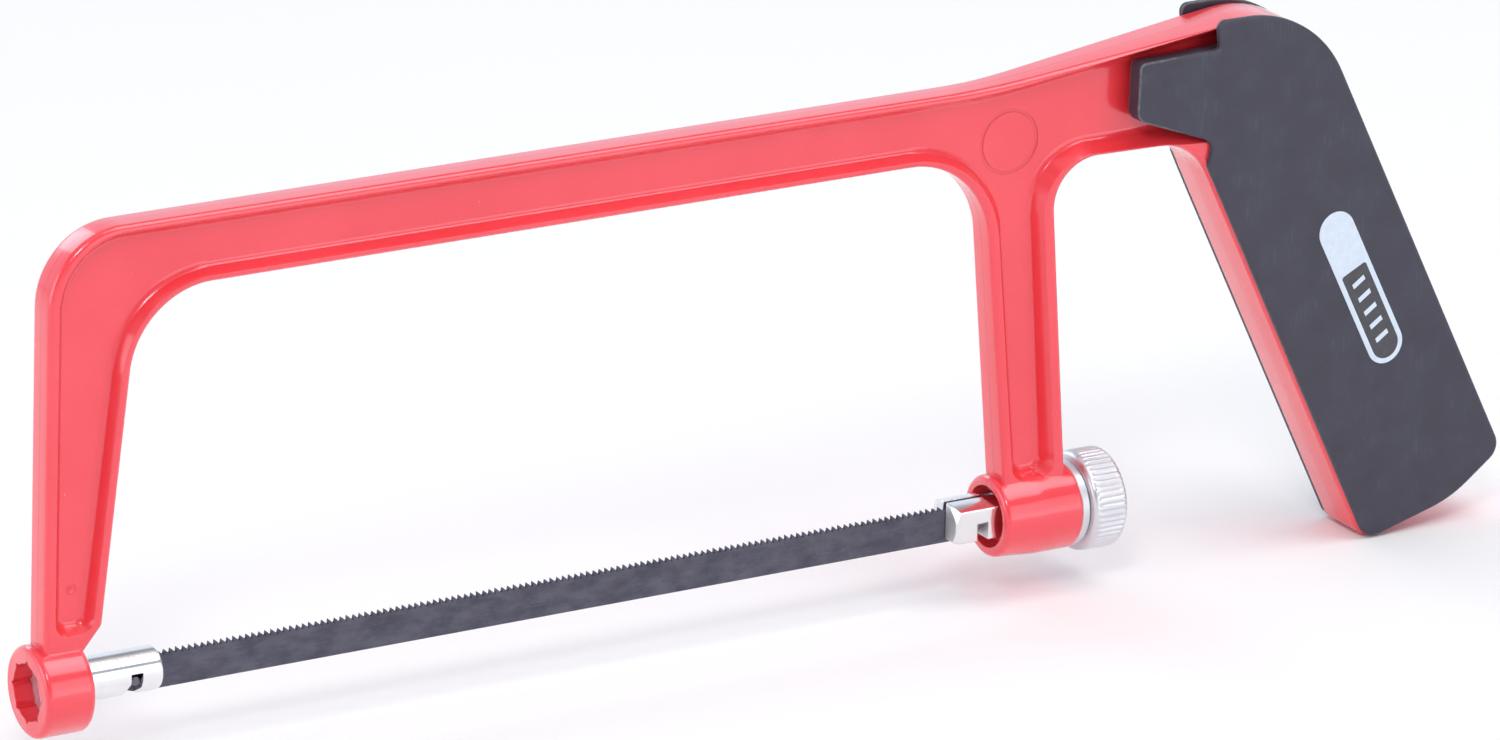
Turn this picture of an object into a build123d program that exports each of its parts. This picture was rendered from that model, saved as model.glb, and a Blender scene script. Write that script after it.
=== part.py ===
"""Small hacksaw with a die-cast frame, a pin-end blade and a knurled tension knob.

Millimetres, +Z up. X runs along the blade towards the handle. The origin is under the middle of
the saw, level with the lowest point of the handle. Sizes in the sketches are measured from the
blade axis, which both bosses share: x from the third tooth of the blade, z from the axis.
"""

import os

from build123d import *

# Where the blade axis runs in the part's own frame
LOWEST_Z = -13.16
LEFT_X = -23.5
RIGHT_X = 235.1
MID_X = (LEFT_X + RIGHT_X) / 2

# Frame casting: thin round the blade, thicker at the handle
FRAME_T = 5.6
HANDLE_CORE_T = 9.8
FLARE_X = (138.0, 180.0)
FLARE_BLEND_R = 60.0
SPINE_TOP_Z = 70.35
SPINE_BOTTOM_Z = 59.65
SPINE_RISE_X = 138.5
ARCH_Z = 57.2
HANDLE_TOP = (195.6, 77.25)
HANDLE_TOP_R = 18.0
OUTER_EDGE_R = 0.9
OUTER_EDGE_LOW_Z = 3.5
SIDE_MARGIN = 0.1

# Recess in each side of the casting
WEB_T = 1.6
SPINE_RIB_W = 2.2
LEG_RIB_W = 2.75
REAR_RIB_W = 3.6
WALL_DRAFT = 31.0
FRONT_POCKET_LOW_Z = 9.8
REAR_POCKET_LOW_Z = 7.4
POCKET_END_X = 182.0
POCKET_CORNER_R = 1.2
POCKET_FLOOR_R = 1.0
RING_CENTER = (143.5, 60.8)
RING_D = 10.4
RING_W = 0.45
RING_DEPTH = 0.15

# Bosses at the feet of the legs
BOSS_D = 14.0
BOSS_EDGE_R = 0.9
REAR_BOSS_MOUTH_R = 6.45
FRONT_BOSS_X = (LEFT_X, -15.5)
REAR_BOSS_X = (142.1, 155.7)
REAR_TAPER_END_X = 149.0
REAR_TAPER_BLEND_R = 12.0
REAR_BOSS_EDGE_R = 0.4
STAR_W = 7.0
STAR_ROOT_R = 4.35
STAR_DEPTH = 6.0
REAR_MOUTH_D = 9.9
REAR_MOUTH_DEPTH = 3.0
GUIDE_END_X = 152.6
RUNNING_GAP = 0.05

# Blade, 24 teeth to the inch; the pins sit in the middle of the plain band under the teeth
BLADE_T = 0.65
BLADE_TOP_Z = 2.9
BLADE_LOW_Z = -2.9
TOOTH_PITCH = 25.4 / 24
TOOTH_DEPTH = 0.7
TOOTH_COUNT = 129
TEETH_START_X = -2 * TOOTH_PITCH
TOOTH_RAKE = 0.12
PIN_D = 1.46
PIN_LENGTH = 5.0
PIN_CHAMFER = 0.15
PIN_HOLE_GAP = 0.01
PIN_Z = -0.3
FRONT_PIN_X = -6.85
REAR_PIN_X = 139.15
BLADE_PAST_PIN = 2.6
BLADE_NOSE_LENGTH = 5.5

# Blade holders; both are centred a little above the axis of the bosses
HOLDER_D = 6.7
HOLDER_Z = 0.5
HOLDER_END_X = -2.6
HOLDER_EDGE_R = 0.5
HEAD_LENGTH = 3.0
BAR_SIZE = (7.4, 5.0)
BAR_Z = 0.25
BAR_CROWN = 0.85
BAR_CROWN_R = 8.5
BAR_X = (134.5, 150.5)
BAR_NOSE_R = (3.4, 4.65)
BAR_NOSE_LENGTH = 0.8
SLIT_W = 0.9
SLIT_TOP_Z = 2.27
SLIT_PAST_BLADE = 1.4
NOTCH_W = 1.93
FRONT_NOTCH_TOP_Z = 1.15
FRONT_NOTCH_FLARE = 1.6
REAR_NOTCH_TOP_Z = 0.5
PIN_GAP = 0.04

# Tensioner
STUD_D = 4.9
STUD_X = (145.6, 162.6)
STUD_CHAMFER = 0.4
WASHER_D = 13.4
WASHER_X = (155.72, 157.22)
WASHER_CHAMFER = 0.2
KNOB_D = 15.8
KNOB_X = (157.28, 163.5)
KNOB_CHAMFER = 0.6
KNURL_COUNT = 48
KNURL_DEPTH = 0.4

# Grip
GRIP_T = 12.0
GRIP_INSET = 0.3
GRIP_EDGE_R = 0.5
TAB_PROUD = 0.3
TAB_DEPTH_Y = 2.4
GRIP_TOP = (195.8, 76.6, 20.0)
POST_PLACES = [(191.0, 62.0), (203.5, 33.0), (219.0, 3.0)]
POST_D = 6.0
SCREW_D = 2.9
SCREW_HEAD_D = 5.4
SCREW_HEAD_H = 1.3
SCREW_TIP_Y = -4.5
BADGE_SIZE = (29.0, 6.6)
BADGE_T = 0.15
BADGE_CENTER = (206.7, 29.35)
BADGE_LEAN = 27.0

AXIS_Z = -LOWEST_Z
FAR = 200.0


def side_plane(y):
    """Plane parallel to the saw's side, facing -Y, with its origin on the blade axis."""
    return Plane(origin=(-MID_X, y, AXIS_Z), x_dir=(1, 0, 0), z_dir=(0, -1, 0))


def cross_plane(x):
    """Plane square to the blade axis at x, facing +X, with Z up in the sketch."""
    return Plane(origin=(x - MID_X, 0, AXIS_Z), x_dir=(0, 1, 0), z_dir=(1, 0, 0))


def level_plane(z):
    """Plane level with the ground at height z above the blade axis."""
    return Plane(origin=(-MID_X, 0, AXIS_Z + z), x_dir=(1, 0, 0), z_dir=(0, 0, 1))


BLADE_AXIS = Axis((-MID_X, 0, AXIS_Z), (1, 0, 0))


def rounded_outline(corners):
    """Closed wire through (x, z, radius) corners."""
    points = [(x, z) for x, z, _ in corners]
    radii = [radius for _, _, radius in corners]
    return FilletPolyline(*points, radius=radii, close=True)


def handle_foot(inset):
    """Corners of the lower end of the handle, moved in by inset."""
    return [
        (235.9 - inset, -2.1 + inset / 2, 3.0),
        (226.3, -9.3 + inset, 20.0),
        (210.1 + inset / 2, -13.7 + inset, 3.0),
    ]


def frame_outline():
    """Side view of the casting: front leg, spine, handle, arch, rear leg, window."""
    corners = [
        (-21.9, 3.0, 0),
        (-21.0, SPINE_TOP_Z, 12.0),
        (SPINE_RISE_X, SPINE_TOP_Z, 120.0),
        (*HANDLE_TOP, HANDLE_TOP_R),
        *handle_foot(0),
        (174.9, ARCH_Z, 9.0),
        (150.2, ARCH_Z, 7.5),
        (154.6, 3.0, 0),
        (143.8, 3.0, 0),
        (138.1, SPINE_BOTTOM_Z, 14.5),
        (-6.4, SPINE_BOTTOM_Z, 13.5),
        (-12.4, 9.4, 1.0),
        (-15.6, 5.6, 0),
        (-15.6, 3.0, 0),
    ]
    return rounded_outline(corners)


def recess_outline():
    """Foot of the recess walls: down both legs, along the spine and into the handle."""
    low = SPINE_BOTTOM_Z + SPINE_RIB_W
    top = SPINE_TOP_Z - SPINE_RIB_W
    corners = [
        (LEFT_X + 1.7 + LEG_RIB_W, FRONT_POCKET_LOW_Z, POCKET_CORNER_R),
        (LEFT_X + 2.5 + LEG_RIB_W, top, 9.8),
        (SPINE_RISE_X, top, 118.0),
        (POCKET_END_X, top + 5.2, 0),
        (POCKET_END_X, ARCH_Z + SPINE_RIB_W, 0),
        (150.0 - REAR_RIB_W, ARCH_Z + SPINE_RIB_W, 10.0),
        (154.2 - REAR_RIB_W, REAR_POCKET_LOW_Z, POCKET_CORNER_R),
        (143.4 + LEG_RIB_W, REAR_POCKET_LOW_Z, POCKET_CORNER_R),
        (137.9 + LEG_RIB_W, low, 17.0),
        (-6.1 - LEG_RIB_W, low, 16.0),
        (-12.4 - LEG_RIB_W, FRONT_POCKET_LOW_Z, POCKET_CORNER_R),
    ]
    return rounded_outline(corners)


def bar_section(gap):
    """Cross section of the rear holder, crowned on top, drawn in the open sketch, grown by gap."""
    with Locations((0, BAR_Z + BAR_CROWN / 2)):
        Rectangle(BAR_SIZE[0] + 2 * gap, BAR_SIZE[1] + BAR_CROWN + 2 * gap)
    with Locations((0, BAR_Z + BAR_SIZE[1] / 2 + BAR_CROWN - BAR_CROWN_R)):
        Circle(BAR_CROWN_R + gap, mode=Mode.INTERSECT)


def flared_plan(thin, thick):
    """Plan view that is thin round the blade and thick at the handle; both are half widths."""
    near = [
        (LEFT_X - 5, -thin, 0),
        (FLARE_X[0], -thin, FLARE_BLEND_R),
        (FLARE_X[1], -thick, FLARE_BLEND_R),
        (RIGHT_X + 5, -thick, 0),
    ]
    far = [(x, -y, radius) for x, y, radius in reversed(near)]
    return rounded_outline(near + far)


def outer_edges(part, least_y, lowest_z=-FAR):
    """Edges of the outline at the side faces; leaves out the lines where the flat side meets the flare."""

    def is_outer(edge):
        start = edge.position_at(0)
        end = edge.position_at(1)
        at_side = min(abs(start.Y), abs(end.Y)) > least_y
        flare_line = abs(edge.tangent_at(0).Z) > 0.99999
        return at_side and not flare_line and edge.center().Z > lowest_z

    return part.edges().filter_by(is_outer)


def star(inset):
    """Eight shallow points round a circle, drawn in the open sketch, moved in by inset."""
    Circle(STAR_ROOT_R - inset)
    Rectangle(STAR_W - 2 * inset, STAR_W - 2 * inset)
    Rectangle(STAR_W - 2 * inset, STAR_W - 2 * inset, rotation=45)


def grip_blank():
    """Near grip scale without its screw holes: plate, block in the recess and three posts."""
    top_left = (164.2, 71.5, 1.0)
    step = [(178.4, 72.1, 0.5), (177.9, 76.6, 1.3)]
    front_top = [(177.2, 53.2, 1.5), (178.0, 57.2, 2.0)]
    low_left = (164.0, 62.4, 2.2)
    with BuildPart() as blank:
        with BuildSketch(side_plane(-TAB_DEPTH_Y)):
            with BuildLine():
                rounded_outline(
                    [top_left, *step, GRIP_TOP, *handle_foot(GRIP_INSET), *front_top, low_left]
                )
            make_face()
        extrude(amount=GRIP_T)
        with BuildSketch(level_plane(-FAR / 2)):
            with BuildLine():
                flared_plan(FRAME_T / 2 + TAB_PROUD, GRIP_T / 2)
            make_face()
        extrude(amount=FAR, mode=Mode.INTERSECT)
        fillet(outer_edges(blank, TAB_DEPTH_Y + SIDE_MARGIN), radius=GRIP_EDGE_R)
        with BuildSketch(level_plane(-FAR / 2)):
            with BuildLine():
                flared_plan(FRAME_T / 2 + RUNNING_GAP, HANDLE_CORE_T / 2 + RUNNING_GAP)
            make_face()
        extrude(amount=FAR, mode=Mode.SUBTRACT)
        with BuildSketch(side_plane(-TAB_DEPTH_Y)):
            with BuildLine():
                rounded_outline(
                    [top_left, (180.5, 71.9, 0.5), (180.5, 59.4, 0.5), (172.1, 59.4, 0.5), low_left]
                )
            make_face()
        extrude(amount=FRAME_T / 2)
        with BuildSketch(side_plane(-RUNNING_GAP)):
            with Locations(*POST_PLACES):
                Circle(POST_D / 2)
        extrude(amount=HANDLE_CORE_T / 2 + RUNNING_GAP)
    return blank.part


def export_piece(builder, name):
    """Label a finished piece and write its STEP file."""
    builder.part.label = name
    export_step(builder.part, f"parts/{name}.step")


os.makedirs("parts", exist_ok=True)

# Recess of the near side, cut from both sides of the casting
with BuildPart() as recess:
    with BuildSketch(side_plane(-WEB_T / 2)):
        with BuildLine():
            recess_outline()
        make_face()
    extrude(amount=GRIP_T / 2, taper=-WALL_DRAFT)
    fillet(recess.faces().sort_by(Axis.Y)[-1].edges(), radius=POCKET_FLOOR_R)
    with BuildSketch(side_plane(-WEB_T / 2)):
        with Locations(RING_CENTER):
            Circle(RING_D / 2)
            Circle(RING_D / 2 - RING_W, mode=Mode.SUBTRACT)
    extrude(amount=-RING_DEPTH)

# Frame: one casting with the two bosses and the core of the handle
with BuildPart() as frame:
    with BuildSketch(side_plane(0)):
        with BuildLine():
            frame_outline()
        make_face()
    extrude(amount=HANDLE_CORE_T / 2, both=True)
    with BuildSketch(level_plane(-FAR / 2)):
        with BuildLine():
            flared_plan(FRAME_T / 2, HANDLE_CORE_T / 2)
        make_face()
    extrude(amount=FAR, mode=Mode.INTERSECT)
    fillet(outer_edges(frame, FRAME_T / 2 - SIDE_MARGIN, AXIS_Z + OUTER_EDGE_LOW_Z), radius=OUTER_EDGE_R)
    add(recess.part, mode=Mode.SUBTRACT)
    mirror(recess.part, about=Plane.XZ, mode=Mode.SUBTRACT)
    with BuildSketch(side_plane(0)):
        with BuildLine():
            rounded_outline(
                [
                    (FRONT_BOSS_X[0], 0, 0),
                    (FRONT_BOSS_X[0], BOSS_D / 2, BOSS_EDGE_R),
                    (FRONT_BOSS_X[1], BOSS_D / 2, BOSS_EDGE_R),
                    (FRONT_BOSS_X[1], 0, 0),
                ]
            )
        make_face()
    revolve(axis=BLADE_AXIS)
    with BuildSketch(side_plane(0)):
        with BuildLine():
            rounded_outline(
                [
                    (REAR_BOSS_X[0], 0, 0),
                    (REAR_BOSS_X[0], REAR_BOSS_MOUTH_R, BOSS_EDGE_R),
                    (REAR_TAPER_END_X, BOSS_D / 2, REAR_TAPER_BLEND_R),
                    (REAR_BOSS_X[1], BOSS_D / 2, REAR_BOSS_EDGE_R),
                    (REAR_BOSS_X[1], 0, 0),
                ]
            )
        make_face()
    revolve(axis=BLADE_AXIS)
    with BuildSketch(cross_plane(FRONT_BOSS_X[0])):
        star(0)
    extrude(amount=STAR_DEPTH, mode=Mode.SUBTRACT)
    with BuildSketch(cross_plane(FRONT_BOSS_X[0] + STAR_DEPTH)):
        with Locations((0, HOLDER_Z)):
            Circle(HOLDER_D / 2 + RUNNING_GAP)
    extrude(amount=FRONT_BOSS_X[1] - FRONT_BOSS_X[0] - STAR_DEPTH, mode=Mode.SUBTRACT)
    with BuildSketch(cross_plane(REAR_BOSS_X[0])):
        Circle(REAR_MOUTH_D / 2)
    extrude(amount=REAR_MOUTH_DEPTH, mode=Mode.SUBTRACT)
    with BuildSketch(cross_plane(REAR_BOSS_X[0])):
        bar_section(RUNNING_GAP)
    extrude(amount=GUIDE_END_X - REAR_BOSS_X[0], mode=Mode.SUBTRACT)
    with BuildSketch(cross_plane(REAR_BOSS_X[0])):
        Circle(STUD_D / 2 + RUNNING_GAP)
    extrude(amount=REAR_BOSS_X[1] - REAR_BOSS_X[0], mode=Mode.SUBTRACT)
    with BuildSketch(side_plane(0)):
        with Locations(*POST_PLACES):
            Circle(POST_D / 2 + RUNNING_GAP)
    extrude(amount=GRIP_T / 2, both=True, mode=Mode.SUBTRACT)
export_piece(frame, "frame")

# Front holder: polished pin whose star head sits in the front boss, slit and notched for the blade
with BuildPart() as front_holder:
    with BuildSketch(cross_plane(FRONT_BOSS_X[0] + STAR_DEPTH)):
        with Locations((0, HOLDER_Z)):
            Circle(HOLDER_D / 2)
    extrude(amount=HOLDER_END_X - FRONT_BOSS_X[0] - STAR_DEPTH)
    fillet(front_holder.faces().sort_by(Axis.X)[-1].edges(), radius=HOLDER_EDGE_R)
    with BuildSketch(cross_plane(FRONT_BOSS_X[0] + STAR_DEPTH)):
        star(RUNNING_GAP)
    extrude(amount=-HEAD_LENGTH)
    with BuildSketch(side_plane(0)):
        with Locations((FRONT_PIN_X - BLADE_PAST_PIN - SLIT_PAST_BLADE, SLIT_TOP_Z)):
            Rectangle(FAR, FAR, align=(Align.MIN, Align.MAX))
    extrude(amount=SLIT_W / 2, both=True, mode=Mode.SUBTRACT)
    notch_right = FRONT_PIN_X + PIN_D / 2 + PIN_GAP
    with BuildSketch(side_plane(0)):
        with BuildLine():
            Polyline(
                (notch_right, FRONT_NOTCH_TOP_Z),
                (notch_right - NOTCH_W, FRONT_NOTCH_TOP_Z),
                (notch_right - NOTCH_W, PIN_Z),
                (notch_right - NOTCH_W - FRONT_NOTCH_FLARE, -HOLDER_D / 2),
                (notch_right, -HOLDER_D / 2),
                close=True,
            )
        make_face()
    extrude(amount=HOLDER_D, both=True, mode=Mode.SUBTRACT)
export_piece(front_holder, "front_holder")

# Rear holder: flat-sided bar with a crowned top and a turned nose, slit through and drilled for the stud
with BuildPart() as rear_holder:
    with BuildSketch(cross_plane(BAR_X[0])):
        bar_section(0)
    extrude(amount=BAR_X[1] - BAR_X[0])
    with BuildSketch(side_plane(0)):
        with BuildLine():
            Polyline(
                (BAR_X[0], 0),
                (BAR_X[0], BAR_NOSE_R[0]),
                (BAR_X[0] + BAR_NOSE_LENGTH, BAR_NOSE_R[1]),
                (BAR_X[1], BAR_NOSE_R[1]),
                (BAR_X[1], 0),
                close=True,
            )
        make_face()
    revolve(axis=BLADE_AXIS, mode=Mode.INTERSECT)
    with BuildSketch(side_plane(0)):
        with Locations((REAR_PIN_X + BLADE_PAST_PIN + SLIT_PAST_BLADE, 0)):
            Rectangle(FAR, FAR, align=(Align.MAX, Align.CENTER))
    extrude(amount=SLIT_W / 2, both=True, mode=Mode.SUBTRACT)
    with BuildSketch(side_plane(0)):
        with Locations((REAR_PIN_X - PIN_D / 2 - PIN_GAP, REAR_NOTCH_TOP_Z)):
            Rectangle(NOTCH_W, FAR, align=(Align.MIN, Align.MAX))
    extrude(amount=BAR_SIZE[0], both=True, mode=Mode.SUBTRACT)
    with BuildSketch(cross_plane(STUD_X[0])):
        Circle(STUD_D / 2 + RUNNING_GAP)
    extrude(amount=BAR_X[1] - STUD_X[0], mode=Mode.SUBTRACT)
export_piece(rear_holder, "rear_holder")

# Tension stud: runs from the rear holder through the boss and washer into the knob
with BuildPart() as tension_stud:
    with BuildSketch(cross_plane(STUD_X[0])):
        Circle(STUD_D / 2)
    extrude(amount=STUD_X[1] - STUD_X[0])
    chamfer(tension_stud.edges(), length=STUD_CHAMFER)
export_piece(tension_stud, "tension_stud")

# Thrust washer between the rear boss and the knob
with BuildPart() as thrust_washer:
    with BuildSketch(cross_plane(WASHER_X[0])):
        Circle(WASHER_D / 2)
    extrude(amount=WASHER_X[1] - WASHER_X[0])
    chamfer(thrust_washer.edges(), length=WASHER_CHAMFER)
    with BuildSketch(cross_plane(WASHER_X[0])):
        Circle(STUD_D / 2 + RUNNING_GAP)
    extrude(amount=WASHER_X[1] - WASHER_X[0], mode=Mode.SUBTRACT)
export_piece(thrust_washer, "thrust_washer")

# Tension knob with a straight knurl
with BuildPart() as tension_knob:
    with BuildSketch(cross_plane(KNOB_X[0])):
        Circle(KNOB_D / 2)
        with PolarLocations(KNOB_D / 2, KNURL_COUNT):
            RegularPolygon(KNURL_DEPTH, 4, mode=Mode.SUBTRACT)
        Circle(STUD_D / 2 + RUNNING_GAP, mode=Mode.SUBTRACT)
    extrude(amount=KNOB_X[1] - KNOB_X[0])
    with BuildSketch(side_plane(0)) as knob_profile:
        with Locations((KNOB_X[0], 0)):
            Rectangle(KNOB_X[1] - KNOB_X[0], KNOB_D / 2, align=(Align.MIN, Align.MIN))
        chamfer(knob_profile.vertices().group_by(Axis.Y)[-1], length=KNOB_CHAMFER)
    revolve(axis=BLADE_AXIS, mode=Mode.INTERSECT)
export_piece(tension_knob, "tension_knob")

# Blade: teeth on the upper edge point away from the handle
GULLET_Z = BLADE_TOP_Z - TOOTH_DEPTH
with BuildPart() as blade:
    with BuildSketch(side_plane(0)):
        with BuildLine():
            tooth_points = []
            for tooth in range(TOOTH_COUNT):
                tip_x = TEETH_START_X + tooth * TOOTH_PITCH
                tooth_points.append((tip_x - TOOTH_RAKE, GULLET_Z))
                tooth_points.append((tip_x, BLADE_TOP_Z))
            teeth_end_x = TEETH_START_X + TOOTH_COUNT * TOOTH_PITCH
            tooth_points.append((teeth_end_x - TOOTH_RAKE, GULLET_Z))
            Polyline(*tooth_points)
            front_end = (FRONT_PIN_X - BLADE_PAST_PIN, PIN_Z)
            rear_end = (REAR_PIN_X + BLADE_PAST_PIN, PIN_Z)
            front_low = (front_end[0] + BLADE_NOSE_LENGTH, BLADE_LOW_Z)
            rear_low = (rear_end[0] - BLADE_NOSE_LENGTH, BLADE_LOW_Z)
            front_high = (front_low[0], GULLET_Z)
            rear_high = (rear_low[0], GULLET_Z)
            Line(front_high, tooth_points[0])
            Line(tooth_points[-1], rear_high)
            Line(front_low, rear_low)
            nose = BLADE_NOSE_LENGTH
            for center_x, low_start, high_start in ((front_low[0], 180, 90), (rear_low[0], 270, 0)):
                center = (center_x, PIN_Z)
                EllipticalCenterArc(center, nose, PIN_Z - BLADE_LOW_Z, start_angle=low_start, arc_size=90)
                EllipticalCenterArc(center, nose, GULLET_Z - PIN_Z, start_angle=high_start, arc_size=90)
        make_face()
        with Locations((FRONT_PIN_X, PIN_Z), (REAR_PIN_X, PIN_Z)):
            Circle(PIN_D / 2 + PIN_HOLE_GAP, mode=Mode.SUBTRACT)
    extrude(amount=BLADE_T / 2, both=True)
export_piece(blade, "blade")

# Blade pins, pressed through the blade's ends
for pin_name, pin_x in (("blade_pin_front", FRONT_PIN_X), ("blade_pin_rear", REAR_PIN_X)):
    with BuildPart() as blade_pin:
        with BuildSketch(side_plane(0)):
            with Locations((pin_x, PIN_Z)):
                Circle(PIN_D / 2)
        extrude(amount=PIN_LENGTH / 2, both=True)
        chamfer(blade_pin.edges(), length=PIN_CHAMFER)
    export_piece(blade_pin, pin_name)

# Grip scales: the near one takes the screws, the far one is countersunk for them
with BuildPart() as grip_scale_near:
    add(grip_blank())
    with BuildSketch(side_plane(0)):
        with Locations(*POST_PLACES):
            Circle(SCREW_D / 2 + RUNNING_GAP)
    extrude(amount=-SCREW_TIP_Y, mode=Mode.SUBTRACT)
export_piece(grip_scale_near, "grip_scale_near")

with BuildPart() as grip_screws:
    for screw_x, screw_z in POST_PLACES:
        with BuildSketch(level_plane(screw_z)):
            with BuildLine():
                Polyline(
                    (screw_x, SCREW_TIP_Y + RUNNING_GAP),
                    (screw_x + SCREW_D / 2, SCREW_TIP_Y + RUNNING_GAP),
                    (screw_x + SCREW_D / 2, GRIP_T / 2 - SCREW_HEAD_H),
                    (screw_x + SCREW_HEAD_D / 2, GRIP_T / 2 - RUNNING_GAP),
                    (screw_x, GRIP_T / 2 - RUNNING_GAP),
                    close=True,
                )
            make_face()
        revolve(axis=Axis((screw_x - MID_X, 0, screw_z + AXIS_Z), (0, 1, 0)))
export_piece(grip_screws, "grip_screws")

with BuildPart() as grip_scale_far:
    add(mirror(grip_blank(), about=Plane.XZ))
    for screw_x, screw_z in POST_PLACES:
        with BuildSketch(level_plane(screw_z)):
            with BuildLine():
                Polyline(
                    (screw_x, 0),
                    (screw_x + SCREW_D / 2 + RUNNING_GAP, 0),
                    (screw_x + SCREW_D / 2 + RUNNING_GAP, GRIP_T / 2 - SCREW_HEAD_H),
                    (screw_x + SCREW_HEAD_D / 2 + RUNNING_GAP, GRIP_T / 2),
                    (screw_x, GRIP_T / 2),
                    close=True,
                )
            make_face()
        revolve(axis=Axis((screw_x - MID_X, 0, screw_z + AXIS_Z), (0, 1, 0)), mode=Mode.SUBTRACT)
export_piece(grip_scale_far, "grip_scale_far")

# Plain badge on the near scale
with BuildPart() as badge:
    with BuildSketch(side_plane(-GRIP_T / 2)):
        with Locations(BADGE_CENTER):
            SlotOverall(*BADGE_SIZE, rotation=90 + BADGE_LEAN)
    extrude(amount=BADGE_T)
export_piece(badge, "badge")
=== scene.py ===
import math

import bmesh
import bpy
from mathutils import Euler, Matrix, Vector


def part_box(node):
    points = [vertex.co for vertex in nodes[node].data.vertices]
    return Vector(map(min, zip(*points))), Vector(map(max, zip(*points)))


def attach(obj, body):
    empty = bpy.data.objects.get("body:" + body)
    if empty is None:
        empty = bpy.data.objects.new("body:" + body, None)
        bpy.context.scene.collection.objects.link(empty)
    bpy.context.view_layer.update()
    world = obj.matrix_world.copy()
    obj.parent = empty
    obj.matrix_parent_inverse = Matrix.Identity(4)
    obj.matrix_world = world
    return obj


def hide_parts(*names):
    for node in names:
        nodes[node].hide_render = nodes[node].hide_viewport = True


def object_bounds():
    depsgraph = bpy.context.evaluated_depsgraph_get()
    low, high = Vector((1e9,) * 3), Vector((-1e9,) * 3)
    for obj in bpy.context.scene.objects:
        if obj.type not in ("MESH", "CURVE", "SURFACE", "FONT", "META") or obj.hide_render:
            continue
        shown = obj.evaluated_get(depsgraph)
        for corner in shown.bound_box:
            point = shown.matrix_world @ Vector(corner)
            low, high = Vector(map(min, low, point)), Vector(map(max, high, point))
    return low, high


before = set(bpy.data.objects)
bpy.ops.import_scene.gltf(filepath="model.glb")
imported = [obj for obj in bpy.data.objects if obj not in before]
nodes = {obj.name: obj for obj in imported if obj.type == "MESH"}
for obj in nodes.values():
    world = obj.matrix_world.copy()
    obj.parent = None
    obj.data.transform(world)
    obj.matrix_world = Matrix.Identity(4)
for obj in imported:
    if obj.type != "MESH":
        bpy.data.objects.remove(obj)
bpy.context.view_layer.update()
MM = 0.001

# Small hacksaw. The CAD nodes get procedural materials, and finer pieces stand in for the blade, the knob,
# the screws and the badge. Lengths are metres, and MM turns millimetres into them.


# ---------------------------------------------------------------- materials


def add_node(tree, kind, inputs=None, **settings):
    """New node; each input is a constant or an output socket to link."""
    node = tree.nodes.new(kind)
    for name, value in settings.items():
        setattr(node, name, value)
    for name, value in (inputs or {}).items():
        socket = node.inputs[name]
        if isinstance(value, bpy.types.NodeSocket):
            tree.links.new(value, socket)
        else:
            socket.default_value = value
    return node


def math_node(tree, operation, first, second=0.0):
    """Result of one arithmetic operation on two values or sockets."""
    node = add_node(tree, "ShaderNodeMath", {0: first, 1: second}, operation=operation)
    return node.outputs[0]


def span(tree, value, low, high, to_low=0.0, to_high=1.0):
    """Value between low and high mapped smoothly to another range."""
    inputs = {"Value": value, "From Min": low, "From Max": high, "To Min": to_low, "To Max": to_high}
    return add_node(tree, "ShaderNodeMapRange", inputs, interpolation_type="SMOOTHSTEP").outputs["Result"]


def mix(tree, factor, first, second):
    """Color between two colors or sockets; factor 0 gives the first."""
    node = tree.nodes.new("ShaderNodeMix")
    node.data_type = "RGBA"
    for index, value in ((0, factor), (6, first), (7, second)):
        if isinstance(value, bpy.types.NodeSocket):
            tree.links.new(value, node.inputs[index])
        else:
            node.inputs[index].default_value = value if index == 0 else (*value, 1.0)
    return node.outputs[2]


def noise(tree, coords, feature, detail=2.0, roughness=0.55):
    """Noise whose features are about that many millimetres across."""
    inputs = {"Vector": coords, "Scale": 1 / (feature * MM), "Detail": detail, "Roughness": roughness}
    return add_node(tree, "ShaderNodeTexNoise", inputs).outputs["Fac"]


def spots(tree, coords, spacing, radius, share):
    """Mask of small round spots, on that share of the cells."""
    cells = add_node(tree, "ShaderNodeTexVoronoi", {"Vector": coords, "Scale": 1 / (spacing * MM)})
    chosen = math_node(tree, "GREATER_THAN", cells.outputs["Color"], 1 - share)
    round_spot = span(tree, cells.outputs["Distance"], radius / spacing, 0.5 * radius / spacing)
    return math_node(tree, "MULTIPLY", chosen, round_spot)


def bump(tree, height, depth, normal=None):
    """Bump of that depth in millimetres."""
    inputs = {"Height": height, "Distance": depth * MM, "Strength": 1.0}
    if normal is not None:
        inputs["Normal"] = normal
    return add_node(tree, "ShaderNodeBump", inputs).outputs["Normal"]


def soft_edges(tree, radius):
    """Normal with sharp edges rounded, and a mask of where those edges are."""
    rounded = add_node(tree, "ShaderNodeBevel", {"Radius": radius * MM}, samples=6).outputs["Normal"]
    plain = add_node(tree, "ShaderNodeNewGeometry").outputs["Normal"]
    dot = add_node(tree, "ShaderNodeVectorMath", {0: rounded, 1: plain}, operation="DOT_PRODUCT")
    return rounded, span(tree, dot.outputs["Value"], 0.995, 0.85)


def facing(tree, axis):
    """How far the surface faces along that axis, either way, from 0 to 1."""
    plain = add_node(tree, "ShaderNodeNewGeometry").outputs["True Normal"]
    dot = add_node(tree, "ShaderNodeVectorMath", {0: plain, 1: axis}, operation="DOT_PRODUCT")
    return math_node(tree, "ABSOLUTE", dot.outputs["Value"])


def start(name, **sockets):
    """New Principled material, its tree, its shader and object coordinates."""
    material = bpy.data.materials.new(name)
    material.use_nodes = True
    tree = material.node_tree
    shader = tree.nodes["Principled BSDF"]
    for key, value in sockets.items():
        shader.inputs[key.replace("_", " ")].default_value = value
    coords = add_node(tree, "ShaderNodeTexCoord").outputs["Object"]
    return material, tree, shader, coords


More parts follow.
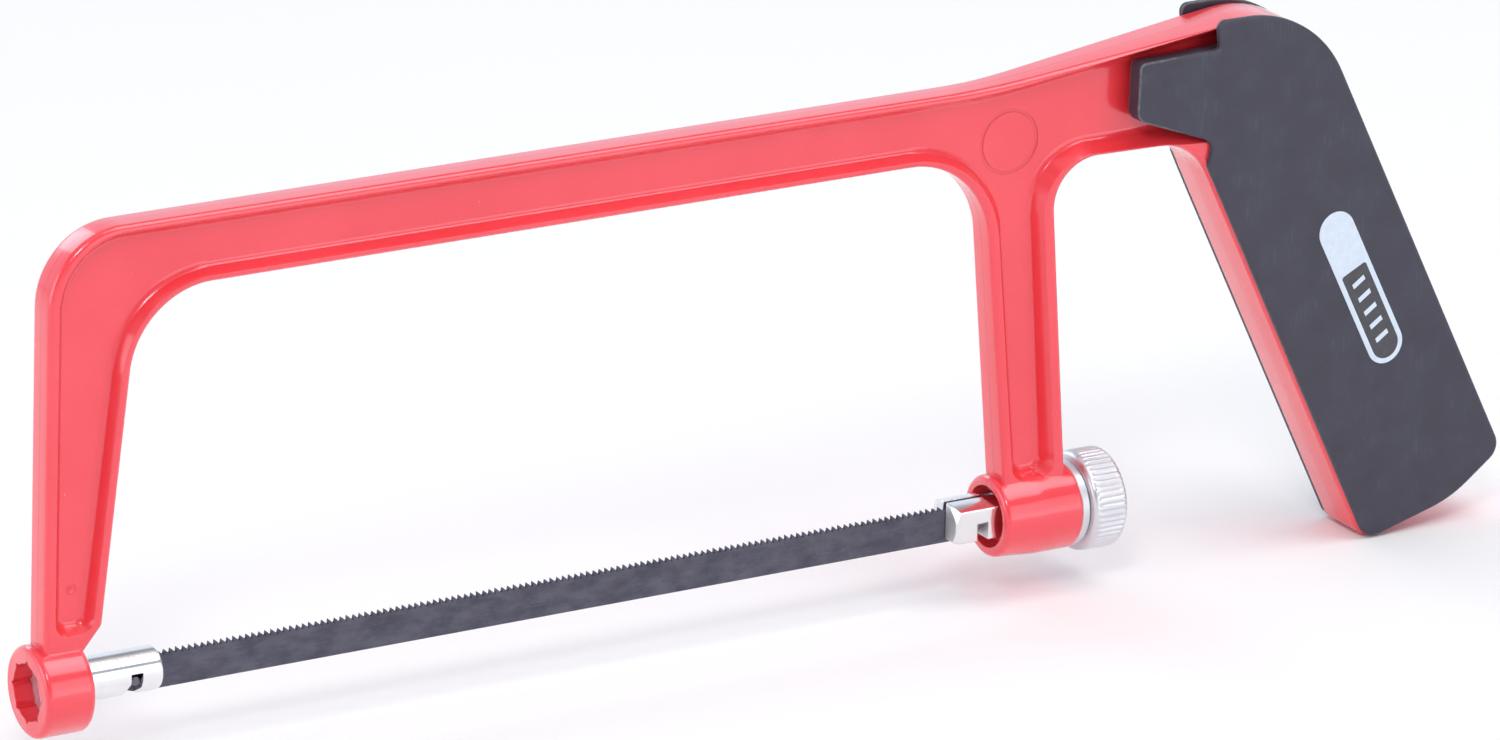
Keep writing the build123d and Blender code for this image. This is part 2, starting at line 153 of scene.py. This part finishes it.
def stretched(tree, coords, scale):
    """Coordinates scaled along each axis; a small scale draws features out along that axis."""
    return add_node(tree, "ShaderNodeMapping", {"Vector": coords, "Scale": scale}).outputs["Vector"]


def red_lacquer():
    """Satin red lacquer on the casting: dust specks, orange peel, a parting seam down the middle and a
    painted pale highlight along the edges.
    """
    red, bright_red, seam_red = (0.84, 0.030, 0.040), (0.88, 0.042, 0.054), (0.66, 0.008, 0.016)
    dust_pink, edge_highlight_pink = (0.95, 0.42, 0.44), (0.95, 0.20, 0.22)
    material, tree, shader, coords = start(
        "frame_red_lacquer", Coat_Weight=0.9, Coat_Roughness=0.08, Specular_IOR_Level=0.75,
        Specular_Tint=(0.72, 0.80, 1.0, 1.0),
    )
    tone = noise(tree, coords, feature=24, detail=3)
    color = mix(tree, span(tree, tone, 0.3, 0.7), red, bright_red)
    dust = spots(tree, coords, spacing=5.0, radius=0.16, share=0.35)
    color = mix(tree, math_node(tree, "MULTIPLY", dust, 0.4), color, dust_pink)
    normal, edges = soft_edges(tree, radius=0.3)
    # Painted highlight: the edges are mixed a little towards pale pink, as if lit
    color = mix(tree, math_node(tree, "MULTIPLY", edges, 0.12), color, edge_highlight_pink)
    peel = noise(tree, coords, feature=1.6, detail=1)
    grain = noise(tree, coords, feature=0.25, detail=2)
    peel_height = math_node(tree, "MULTIPLY", peel, 0.7)
    height = math_node(tree, "ADD", peel_height, math_node(tree, "MULTIPLY", grain, 0.12))
    height = math_node(tree, "ADD", height, math_node(tree, "MULTIPLY", dust, 0.5))
    # The seam lies in the saw's middle plane, only on faces that look along it
    sideways = add_node(tree, "ShaderNodeSeparateXYZ", {"Vector": coords}).outputs["Y"]
    from_middle = math_node(tree, "ABSOLUTE", sideways)
    wander = noise(tree, stretched(tree, coords, (1.0, 0.0, 1.0)), feature=9, detail=3)
    outer = span(tree, facing(tree, (0.0, 1.0, 0.0)), 0.5, 0.25)
    seam_width = math_node(tree, "MULTIPLY", wander, 0.42 * MM)
    seam = span(tree, math_node(tree, "SUBTRACT", from_middle, seam_width), 0.1 * MM, -0.05 * MM)
    seam = math_node(tree, "MULTIPLY", seam, outer)
    color = mix(tree, math_node(tree, "MULTIPLY", seam, 0.4), color, seam_red)
    crown = math_node(tree, "MULTIPLY", span(tree, from_middle, 0.0, 5.0 * MM, 1.0, 0.0), outer)
    normal = bump(tree, crown, 0.34, normal)
    normal = bump(tree, seam, -0.006, normal)
    roughness = span(tree, noise(tree, coords, feature=7, detail=3), 0.3, 0.7, 0.22, 0.27)
    tree.links.new(color, shader.inputs["Base Color"])
    tree.links.new(bump(tree, height, 0.022, normal), shader.inputs["Normal"])
    tree.links.new(roughness, shader.inputs["Roughness"])
    return material


def grip_plastic():
    """Dark moulded plastic with fine grain, paler edges (painted highlight, partly rubbed wear), pale
    flecks and faint streaks.
    """
    dark, less_dark = (0.032, 0.031, 0.050), (0.043, 0.042, 0.067)
    highlight_and_wear_gray, fleck_gray, streak_gray = (0.26, 0.27, 0.29), (0.24, 0.24, 0.28), (0.10, 0.10, 0.13)
    material, tree, shader, coords = start("grip_moulded_plastic", Specular_IOR_Level=0.5)
    mottle = noise(tree, coords, feature=6, detail=4)
    color = mix(tree, span(tree, mottle, 0.3, 0.7), dark, less_dark)
    normal, edges = soft_edges(tree, radius=0.7)
    # Painted highlight along the edges, patchy like rubbed wear: the edges are mixed towards pale grey
    scuffs = span(tree, noise(tree, coords, feature=0.9, detail=4, roughness=0.7), 0.35, 0.65)
    patchiness = math_node(tree, "ADD", math_node(tree, "MULTIPLY", scuffs, 0.5), 0.45)
    edge_highlight_and_wear = math_node(tree, "MULTIPLY", edges, patchiness)
    color = mix(tree, edge_highlight_and_wear, color, highlight_and_wear_gray)
    fleck = spots(tree, coords, spacing=4.5, radius=0.22, share=0.28)
    color = mix(tree, math_node(tree, "MULTIPLY", fleck, 0.8), color, fleck_gray)
    upright = stretched(tree, coords, (1.0, 1.0, 0.08))
    streaks = noise(tree, upright, feature=0.35, detail=3, roughness=0.6)
    scuffed = math_node(tree, "MULTIPLY", span(tree, streaks, 0.5, 0.7), span(tree, mottle, 0.48, 0.66))
    color = mix(tree, math_node(tree, "MULTIPLY", scuffed, 0.35), color, streak_gray)
    grain = noise(tree, coords, feature=0.32, detail=3, roughness=0.6)
    pit_inputs = {"Vector": coords, "Scale": 1 / (0.45 * MM)}
    pits = add_node(tree, "ShaderNodeTexVoronoi", pit_inputs).outputs["Distance"]
    height = math_node(tree, "ADD", grain, math_node(tree, "MULTIPLY", pits, 0.35))
    height = math_node(tree, "ADD", height, math_node(tree, "MULTIPLY", fleck, 0.6))
    tree.links.new(color, shader.inputs["Base Color"])
    tree.links.new(bump(tree, height, 0.05, normal), shader.inputs["Normal"])
    tree.links.new(span(tree, mottle, 0.3, 0.7, 0.44, 0.56), shader.inputs["Roughness"])
    return material


def polished(name, base, rough, lines, line_depth, edge, torn_below=None, dull_ends=False):
    """Plated metal with fine tool marks, stretched by lines, and edges rounded by edge millimetres.

    torn_below is an x below which the surface is torn; dull_ends makes faces square to X matt.
    """
    torn_pink = (0.90, 0.80, 0.88)
    material, tree, shader, coords = start(name, Metallic=1.0)
    marks = noise(tree, stretched(tree, coords, lines), feature=1.0, detail=3)
    haze = noise(tree, coords, feature=3.0, detail=3)
    color = mix(tree, span(tree, haze, 0.3, 0.7), [c * 0.94 for c in base], base)
    roughness = span(tree, haze, 0.3, 0.7, rough * 0.8, rough * 1.3)
    normal = bump(tree, marks, line_depth, soft_edges(tree, radius=edge)[0])
    if dull_ends:
        square_x = span(tree, facing(tree, (1.0, 0.0, 0.0)), 0.8, 0.95)
        roughness = math_node(tree, "ADD", roughness, math_node(tree, "MULTIPLY", square_x, 0.45))
    if torn_below is not None:
        axis_x = add_node(tree, "ShaderNodeSeparateXYZ", {"Vector": coords}).outputs["X"]
        torn = span(tree, axis_x, torn_below + 0.1 * MM, torn_below)
        crags = noise(tree, coords, feature=0.7, detail=5, roughness=0.75)
        color = mix(tree, torn, color, torn_pink)
        roughness = math_node(tree, "ADD", roughness, math_node(tree, "MULTIPLY", torn, 0.3))
        normal = bump(tree, math_node(tree, "MULTIPLY", crags, torn), 0.9, normal)
    tree.links.new(color, shader.inputs["Base Color"])
    tree.links.new(roughness, shader.inputs["Roughness"])
    tree.links.new(normal, shader.inputs["Normal"])
    return material


def blued_steel():
    """Dark blued steel of the blade, rolled lengthways, clouded and slightly stained."""
    dark_blue, pale_blue = (0.060, 0.060, 0.088), (0.115, 0.113, 0.148)
    rolled_gray, stain_brown = (0.17, 0.17, 0.20), (0.085, 0.070, 0.075)
    material, tree, shader, coords = start("blade_blued_steel", Metallic=0.55, Specular_IOR_Level=0.5)
    lengthways = stretched(tree, coords, (0.08, 1.0, 1.0))
    rolled = noise(tree, lengthways, feature=0.25, detail=4, roughness=0.6)
    cloud = noise(tree, stretched(tree, coords, (0.5, 1.0, 1.0)), feature=2.6, detail=5, roughness=0.65)
    color = mix(tree, span(tree, cloud, 0.3, 0.7), dark_blue, pale_blue)
    color = mix(tree, span(tree, rolled, 0.55, 0.75, 0.0, 0.35), color, rolled_gray)
    stain = span(tree, noise(tree, coords, feature=5.5, detail=3), 0.56, 0.72, 0.0, 0.35)
    color = mix(tree, stain, color, stain_brown)
    height = math_node(tree, "ADD", rolled, math_node(tree, "MULTIPLY", cloud, 0.6))
    tree.links.new(color, shader.inputs["Base Color"])
    tree.links.new(bump(tree, height, 0.012), shader.inputs["Normal"])
    tree.links.new(span(tree, cloud, 0.3, 0.7, 0.34, 0.52), shader.inputs["Roughness"])
    return material


def pale_floor():
    """Plain pale floor, very slightly uneven."""
    material, tree, shader, coords = start("floor_pale", Roughness=0.75, Specular_IOR_Level=0.2)
    tone = noise(tree, coords, feature=300, detail=2)
    color = mix(tree, tone, (0.90, 0.90, 0.905), (0.93, 0.93, 0.935))
    tree.links.new(color, shader.inputs["Base Color"])
    return material


def printed(name, first, second):
    """Slightly uneven printed color between two tones."""
    material, tree, shader, coords = start(name, Roughness=0.42, Coat_Weight=0.2, Coat_Roughness=0.3)
    tone = span(tree, noise(tree, coords, feature=1.2, detail=4, roughness=0.65), 0.3, 0.7)
    tree.links.new(mix(tree, tone, first, second), shader.inputs["Base Color"])
    grain = noise(tree, coords, feature=0.3, detail=3)
    tree.links.new(bump(tree, grain, 0.012), shader.inputs["Normal"])
    return material


def paint(obj, material):
    """Every face of obj gets that one material."""
    obj.data.materials.clear()
    obj.data.materials.append(material)


# ------------------------------------------------------------------- meshes

WELD = 0.0001 * MM
SHARP_ANGLE = math.radians(38)


def new_piece(name, work, body, material, smooth=True):
    """Object made from a bmesh, painted, given its slot and riding on a CAD body."""
    bmesh.ops.remove_doubles(work, verts=work.verts, dist=WELD)
    bmesh.ops.recalc_face_normals(work, faces=work.faces)
    mesh = bpy.data.meshes.new(name)
    work.to_mesh(mesh)
    work.free()
    obj = bpy.data.objects.new(name, mesh)
    bpy.context.scene.collection.objects.link(obj)
    if smooth:
        mesh.polygons.foreach_set("use_smooth", [True] * len(mesh.polygons))
        mesh.set_sharp_from_angle(angle=SHARP_ANGLE)
    paint(obj, material)
    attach(obj, body)
    return obj


def rows_to_faces(work, rows, closed_rows=False):
    """Quads between neighbouring rings of vertices; closed_rows joins the last ring to the first."""
    pairs = list(zip(rows, rows[1:]))
    if closed_rows:
        pairs.append((rows[-1], rows[0]))
    for low, high in pairs:
        count = len(low)
        for i in range(count):
            j = (i + 1) % count
            work.faces.new((low[i], low[j], high[j], high[i]))


def turned(rows, place, steps, closed_rows=False):
    """bmesh of a turned form: rows are (distance along the axis, radius at an angle)."""
    work = bmesh.new()
    rings = []
    for along, radius in rows:
        ring = []
        for step in range(steps):
            angle = 2 * math.pi * step / steps
            r = radius(angle) if callable(radius) else radius
            ring.append(work.verts.new(place @ Vector((along, r * math.cos(angle), r * math.sin(angle)))))
        rings.append(ring)
    rows_to_faces(work, rings, closed_rows)
    if not closed_rows:
        for ring in (rings[0], rings[-1]):
            work.faces.new(ring)
    return work


# Materials, one for each slot, and a dark print for the badge's panel
lacquer = red_lacquer()
plastic = grip_plastic()
HEAD_FACE_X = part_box("front_holder")[0].x
chrome = polished(
    "holder_chrome", (0.86, 0.87, 0.89), rough=0.10, lines=(0.04, 1.0, 1.0), line_depth=0.004, edge=0.25,
    torn_below=HEAD_FACE_X + 0.02 * MM,
)
nickel = polished(
    "bar_nickel", (0.84, 0.84, 0.85), rough=0.13, lines=(0.05, 1.0, 1.0), line_depth=0.004, edge=0.35,
    dull_ends=True,
)
satin = polished(
    "knob_satin", (0.72, 0.73, 0.77), rough=0.36, lines=(1.0, 0.2, 0.2), line_depth=0.010, edge=0.25
)
zinc = polished(
    "stud_zinc", (0.60, 0.60, 0.60), rough=0.30, lines=(0.3, 1.0, 1.0), line_depth=0.010, edge=0.1
)
steel = polished(
    "pin_blued_steel", (0.16, 0.16, 0.19), rough=0.28, lines=(1.0, 0.1, 1.0), line_depth=0.006, edge=0.2
)
blued = blued_steel()
oxide = polished(
    "screw_black_oxide", (0.10, 0.10, 0.11), rough=0.35, lines=(1.0, 0.2, 1.0), line_depth=0.012, edge=0.1
)
pale_print = printed("badge_pale_print", (0.60, 0.69, 0.80), (0.66, 0.75, 0.86))
dark_print = printed("badge_dark_print", (0.040, 0.040, 0.050), (0.055, 0.055, 0.068))

for node, material in {
    "frame": lacquer,
    "front_holder": chrome,
    "rear_holder": nickel,
    "tension_stud": zinc,
    "thrust_washer": satin,
    "blade_pin_front": steel,
    "blade_pin_rear": steel,
    "grip_scale_near": plastic,
    "grip_scale_far": plastic,
}.items():
    paint(nodes[node], material)

# Blade: teeth set to the far side, to the near side and left straight, in turn
TOOTH_PITCH = 25.4 / 24 * MM
TOOTH_COUNT = 129
TOOTH_DEPTH = 0.7 * MM
TOOTH_SET = 0.11 * MM
THIRD_TOOTH = 9.45 * MM
FIRST_TOOTH = THIRD_TOOTH - 2 * TOOTH_PITCH
NOSE = 5.5 * MM
NOSE_STEPS = 12
PLAIN_BAND = 0.25 * MM

blade_low, blade_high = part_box("blade")
pin_low, pin_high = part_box("blade_pin_front")
pin_z = (pin_low.z + pin_high.z) / 2
gullet_z = blade_high.z - TOOTH_DEPTH
half_t = (blade_high.y - blade_low.y) / 2

TOOTH_SIDES = (TOOTH_SET, -TOOTH_SET, 0.0)
# From one gullet over the tip to the next: (distance from the tip, share of the tooth's height)
TOOTH_SHAPE = (
    (-0.12 * MM, 0.0),
    (-0.04 * MM, 0.55),
    (0.0, 1.0),
    (0.05 * MM, 0.97),
    (0.5 * TOOTH_PITCH, 0.38),
    (TOOTH_PITCH - 0.32 * MM, 0.05),
)


def blade_columns():
    """(x, lower z, upper z, sideways set of the top) along the blade: front nose, teeth, rear nose."""
    columns = []
    for end, inward in ((blade_low.x, 1), (blade_high.x, -1)):
        part = []
        for step in range(NOSE_STEPS + 1):
            angle = math.pi / 2 * step / NOSE_STEPS
            x = end + inward * NOSE * (1 - math.cos(angle))
            low = pin_z - (pin_z - blade_low.z) * math.sin(angle)
            high = pin_z + (gullet_z - pin_z) * math.sin(angle)
            part.append((x, low, high, 0.0))
        columns.append(part)
    front, rear = columns[0], columns[1][::-1]
    teeth = []
    for tooth in range(TOOTH_COUNT):
        tip = blade_low.x + FIRST_TOOTH + tooth * TOOTH_PITCH
        side = TOOTH_SIDES[tooth % len(TOOTH_SIDES)]
        for dx, height in TOOTH_SHAPE:
            teeth.append((tip + dx, blade_low.z, gullet_z + height * TOOTH_DEPTH, side * height))
    return front + teeth + rear


def toothed_blade():
    """bmesh of the blade: flat sides up to a plain band under the gullets, then the set of the teeth."""
    work = bmesh.new()
    band_share = (gullet_z - PLAIN_BAND - blade_low.z) / (gullet_z - blade_low.z)
    rings = []
    for x, low, high, side in blade_columns():
        base = low + (min(high, gullet_z) - low) * band_share
        near = [(-half_t, low), (-half_t, (low + base) / 2), (-half_t, base), (side - half_t, high)]
        far = [(side + half_t, high), (half_t, base), (half_t, (low + base) / 2), (half_t, low)]
        rings.append([work.verts.new((x, y, z)) for y, z in near + far])
    rows_to_faces(work, rings)
    for ring in (rings[0], rings[-1]):
        work.faces.new(ring)
    return work


blade = new_piece("blade_toothed", toothed_blade(), "blade", blued, smooth=False)
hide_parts("blade")

# Tension knob with rounded straight flutes
FLUTES = 48
FLUTE_DEPTH = 0.30 * MM
FLUTE_START = 0.7 * MM
FLUTE_RUN_IN = 0.8 * MM
FLUTE_END = 0.6 * MM
FLUTE_FADE = 0.6 * MM
FLUTE_LOSS = 0.4
FLUTE_ROWS = 16
STEPS_PER_FLUTE = 12
ROOT_DROP = 0.12 * MM
CREST_RISE = 0.02 * MM
BORE_GAP = 0.06 * MM
knob_low, knob_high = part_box("tension_knob")
stud_low, stud_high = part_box("tension_stud")
knob_r = (knob_high.z - knob_low.z) / 2 + CREST_RISE
knob_length = knob_high.x - knob_low.x
bore_r = (stud_high.z - stud_low.z) / 2 + BORE_GAP
axis_z = (stud_low.z + stud_high.z) / 2


def fluted(radius, strength):
    """Radius at an angle, with rounded flutes of that share of their full depth."""

    def at(angle):
        return radius - FLUTE_DEPTH * strength * (1 - abs(math.cos(FLUTES / 2 * angle)))

    return at


def smooth_step(value, low, high):
    """0 below low, 1 above high, smooth between them."""
    t = min(max((value - low) / (high - low), 0.0), 1.0)
    return t * t * (3 - 2 * t)


def knob_rows():
    """Profile of the knob: rounded front rim, fluted grip, rounded back rim, dished face round the bore."""
    front_rim = [
        (0.0, bore_r),
        (0.0, knob_r - 1.1 * MM),
        (0.12 * MM, knob_r - 0.62 * MM),
        (0.4 * MM, knob_r - 0.25 * MM),
    ]
    grip = []
    fade_start = knob_length - FLUTE_END - FLUTE_FADE
    for row in range(FLUTE_ROWS + 1):
        along = FLUTE_START + (knob_length - FLUTE_START - FLUTE_END) * row / FLUTE_ROWS
        rise = smooth_step(along, FLUTE_START, FLUTE_START + FLUTE_RUN_IN)
        fall = 1 - FLUTE_LOSS * smooth_step(along, fade_start, fade_start + FLUTE_FADE)
        grip.append((along, fluted(knob_r - ROOT_DROP * (1 - rise), rise * fall)))
    back_rim = [
        (knob_length - 0.35 * MM, fluted(knob_r - 0.14 * MM, 0.35)),
        (knob_length - 0.12 * MM, fluted(knob_r - 0.45 * MM, 0.15)),
        (knob_length, knob_r - 0.9 * MM),
    ]
    dished_face = [
        (knob_length, knob_r - 2.6 * MM),
        (knob_length - 0.12 * MM, knob_r - 2.75 * MM),
        (knob_length - 0.3 * MM, knob_r - 2.85 * MM),
        (knob_length - 0.32 * MM, bore_r + 0.3 * MM),
        (knob_length - 0.55 * MM, bore_r),
    ]
    return front_rim + grip + back_rim + dished_face


knob_place = Matrix.Translation((knob_low.x, 0, axis_z))
knob_form = turned(knob_rows(), knob_place, FLUTES * STEPS_PER_FLUTE, closed_rows=True)
knob = new_piece("knob_fluted", knob_form, "knob", satin)
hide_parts("tension_knob")

# Screws in the far scale, with hexagon sockets
screw_low, screw_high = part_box("grip_screws")
# Centers as shares of the way from the leftmost to the rightmost screw, and from the lowest to the highest
SCREW_PLACES = [(0.0, 1.0), (12.5 / 28.0, 30.0 / 59.0), (1.0, 0.0)]
SCREW_STEPS = 48
HEAD_R = 2.7 * MM
SHANK_R = 1.4 * MM
HEAD_H = 1.25 * MM
SOCKET_R = 1.25 * MM
SOCKET_DEPTH = 1.0 * MM


def hexagon(radius):
    """Radius at an angle of a hexagon with corners at that radius."""

    def at(angle):
        return radius * math.cos(math.pi / 6) / math.cos(angle % (math.pi / 3) - math.pi / 6)

    return at


def screw_rows(tip, top):
    """Profile of a screw from its tip to the floor of the hexagon socket in its head."""
    return [
        (tip, SHANK_R * 0.75),
        (tip + 0.4 * MM, SHANK_R),
        (top - HEAD_H, SHANK_R),
        (top - 0.15 * MM, HEAD_R - 0.06 * MM),
        (top - 0.05 * MM, HEAD_R - 0.10 * MM),
        (top, HEAD_R - 0.35 * MM),
        (top, SOCKET_R + 0.35 * MM),
        (top - 0.08 * MM, hexagon(SOCKET_R + 0.06 * MM)),
        (top - 0.2 * MM, hexagon(SOCKET_R)),
        (top - SOCKET_DEPTH, hexagon(SOCKET_R)),
        (top - SOCKET_DEPTH - 0.25 * MM, 0.1 * MM),
    ]


for number, (share_x, share_z) in enumerate(SCREW_PLACES, 1):
    x = screw_low.x + HEAD_R + share_x * (screw_high.x - screw_low.x - 2 * HEAD_R)
    z = screw_low.z + HEAD_R + share_z * (screw_high.z - screw_low.z - 2 * HEAD_R)
    place = Matrix.Translation((x, 0, z)) @ Matrix.Rotation(math.radians(90), 4, "Z")
    screw_form = turned(screw_rows(screw_low.y, screw_high.y), place, SCREW_STEPS)
    screw = new_piece(f"grip_screw_{number}", screw_form, "saw_frame", oxide)
    if number == 1:
        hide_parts("grip_screws")

# Plain badge: a pale pill with a dark panel and short bars
BADGE_LENGTH = 29.0 * MM
BADGE_WIDTH = 6.6 * MM
BADGE_LEAN = math.radians(27.0)
PANEL_BORDER = 0.85 * MM
PANEL_TOP = 3.6 * MM
BAR_COUNT = 5
BAR_PITCH = 2.7 * MM
BAR_DROP = 2.6 * MM
BAR_HALF_LENGTH = 1.25 * MM
BAR_HALF_WIDTH = 0.42 * MM
BAR_SLANT = 0.35 * MM
badge_low, badge_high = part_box("badge")
badge_center = (badge_low + badge_high) / 2
badge_place = Matrix.Translation((badge_center.x, badge_high.y, badge_center.z))
badge_frame = badge_place @ Matrix.Rotation(-BADGE_LEAN, 4, "Y")


def pill_points(length, width, top_cut=None, steps=20, corner=0.3 * MM):
    """Outline of an upright pill; top_cut squares it off at that height, with small cut corners."""
    r = width / 2
    half = length / 2 - r
    points = []
    for step in range(steps + 1):
        angle = math.pi * step / steps
        points.append((r * math.cos(math.pi + angle), -half + r * math.sin(math.pi + angle)))
    if top_cut is None:
        for step in range(steps + 1):
            angle = math.pi * step / steps
            points.append((r * math.cos(angle), half + r * math.sin(angle)))
    else:
        points += [(r, top_cut - corner), (r - corner, top_cut)]
        points += [(corner - r, top_cut), (-r, top_cut - corner)]
    return points


def plate(points, bottom, top, edge):
    """bmesh plate from an outline, standing off the badge plane, with a softened upper edge."""
    work = bmesh.new()
    center = Vector((sum(p[0] for p in points) / len(points), sum(p[1] for p in points) / len(points)))
    rings = []
    for height, inset in ((bottom, 0.0), (top - edge, 0.0), (top, edge)):
        ring = []
        for x, z in points:
            offset = (Vector((x, z)) - center).normalized() * inset
            ring.append(work.verts.new(badge_frame @ Vector((x - offset.x, -height, z - offset.y))))
        rings.append(ring)
    rows_to_faces(work, rings)
    work.faces.new(rings[0])
    work.faces.new(rings[-1])
    return work


def bar_corners(number):
    """Outline of one short slanted bar, counted down from the top of the panel."""
    z = PANEL_TOP - BAR_DROP - number * BAR_PITCH
    return [
        (-BAR_HALF_LENGTH, z - BAR_HALF_WIDTH),
        (BAR_HALF_LENGTH, z - BAR_HALF_WIDTH + BAR_SLANT),
        (BAR_HALF_LENGTH, z + BAR_HALF_WIDTH + BAR_SLANT),
        (-BAR_HALF_LENGTH, z + BAR_HALF_WIDTH),
    ]


pill = pill_points(BADGE_LENGTH, BADGE_WIDTH)
pill_form = plate(pill, -0.02 * MM, 0.11 * MM, 0.04 * MM)
badge = new_piece("badge_plate", pill_form, "saw_frame", pale_print)
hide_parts("badge")

panel = pill_points(BADGE_LENGTH - 2 * PANEL_BORDER, BADGE_WIDTH - 2 * PANEL_BORDER, PANEL_TOP)
panel_form = plate(panel, 0.10 * MM, 0.125 * MM, 0.01 * MM)
new_piece("badge_panel", panel_form, "saw_frame", dark_print)

for number in range(BAR_COUNT):
    bar_form = plate(bar_corners(number), 0.115 * MM, 0.145 * MM, 0.01 * MM)
    new_piece(f"badge_bar_{number + 1}", bar_form, "saw_frame", pale_print)

# Small round ejector marks in the front leg's recess, one on each side
MARK_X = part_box("frame")[0].x + 6.8 * MM
MARK_Z = 28.4 * MM
MARK_R = 0.75 * MM
MARK_STEPS = 40
WEB_HALF = 0.8 * MM
mark_rows = [
    (WEB_HALF - 0.05 * MM, MARK_R + 0.12 * MM),
    (WEB_HALF + 0.03 * MM, MARK_R + 0.06 * MM),
    (WEB_HALF + 0.08 * MM, MARK_R - 0.05 * MM),
    (WEB_HALF + 0.08 * MM, MARK_R - 0.2 * MM),
    (WEB_HALF + 0.02 * MM, MARK_R - 0.3 * MM),
]
for side, name in ((-1, "near"), (1, "far")):
    place = Matrix.Translation((MARK_X, 0, MARK_Z)) @ Matrix.Rotation(math.radians(90 * side), 4, "Z")
    mark_form = turned(mark_rows, place, MARK_STEPS)
    new_piece(f"ejector_mark_{name}", mark_form, "saw_frame", lacquer)

# -------------------------------------------------- floor, light and camera

low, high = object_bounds()
center = (low + high) / 2

FLOOR_REACH = 8.0
FLOOR_GAP = 0.05 * MM
floor_corners = [(x * FLOOR_REACH, y * FLOOR_REACH, 0) for x, y in ((-1, -1), (1, -1), (1, 1), (-1, 1))]
floor_mesh = bpy.data.meshes.new("floor")
floor_mesh.from_pydata(floor_corners, [], [(0, 1, 2, 3)])
floor = bpy.data.objects.new("floor", floor_mesh)
floor.location.z = low.z - FLOOR_GAP
bpy.context.scene.collection.objects.link(floor)
paint(floor, pale_floor())


def soft_light(name, offset, size, power, color=(1.0, 1.0, 1.0)):
    """Square area light that points at the middle of the saw."""
    data = bpy.data.lights.new(name, "AREA")
    data.shape = "SQUARE"
    data.size = size
    data.energy = power
    data.color = color
    light = bpy.data.objects.new(name, data)
    light.location = center + Vector(offset)
    light.rotation_euler = (-Vector(offset)).to_track_quat("-Z", "Y").to_euler()
    bpy.context.scene.collection.objects.link(light)


soft_light("top_box", (0.36, -0.27, 0.95), 0.65, 3.6)
soft_light("key_box", (-0.55, -0.68, 0.85), 0.3, 3.4)
soft_light("front_box", (0.5, -1.3, 0.35), 0.9, 3.4)
soft_light("left_box", (-1.2, 0.15, 0.25), 0.6, 2.4)
soft_light("back_box", (-0.25, 1.3, 0.75), 0.6, 3.0, (0.90, 0.95, 1.0))

# Studio sky: pale at the sides and overhead, with a dark ring high up and a dark wall in front, so that
# bright metal has something dark to mirror
world = bpy.data.worlds.new("studio")
bpy.context.scene.world = world
world.use_nodes = True
sky_tree = world.node_tree
background = sky_tree.nodes["Background"]
direction = add_node(sky_tree, "ShaderNodeTexCoord").outputs["Generated"]
parts = add_node(sky_tree, "ShaderNodeSeparateXYZ", {"Vector": direction})
up = parts.outputs["Z"]
sky = mix(sky_tree, span(sky_tree, up, 0.55, 0.75), (0.80, 0.86, 0.97), (0.32, 0.31, 0.32))
sky = mix(sky_tree, span(sky_tree, up, 0.80, 0.92), sky, (0.80, 0.79, 0.79))
front = mix(sky_tree, span(sky_tree, up, 0.08, 0.30), (0.85, 0.86, 0.90), (0.34, 0.33, 0.35))
is_front = span(sky_tree, parts.outputs["Y"], 0.15, -0.25)
low_front = math_node(sky_tree, "MULTIPLY", is_front, span(sky_tree, up, 0.75, 0.5))
sky = mix(sky_tree, low_front, sky, front)
sky_tree.links.new(sky, background.inputs["Color"])
background.inputs["Strength"].default_value = 1.1

scene = bpy.context.scene
scene.view_settings.view_transform = "Standard"
scene.view_settings.look = "None"

# Camera at the photograph's viewing angle, far off with a long lens
CAMERA_OFFSET = Vector((-0.70253, -1.13722, 0.45873))
CAMERA_ANGLES = (70.96633, -1.4162, -30.95885)
CAMERA_LENS = 223.655
AIM_HEIGHT = 44.87 * MM
camera_data = bpy.data.cameras.new("camera")
camera_data.sensor_width = 36.0
camera_data.lens = CAMERA_LENS
camera_data.clip_start = 0.1
camera_data.clip_end = 50.0
camera = bpy.data.objects.new("camera", camera_data)
camera.location = Vector((center.x, 0.0, low.z + AIM_HEIGHT)) + CAMERA_OFFSET
camera.rotation_euler = Euler([math.radians(angle) for angle in CAMERA_ANGLES], "XYZ")
scene.collection.objects.link(camera)
scene.camera = camera
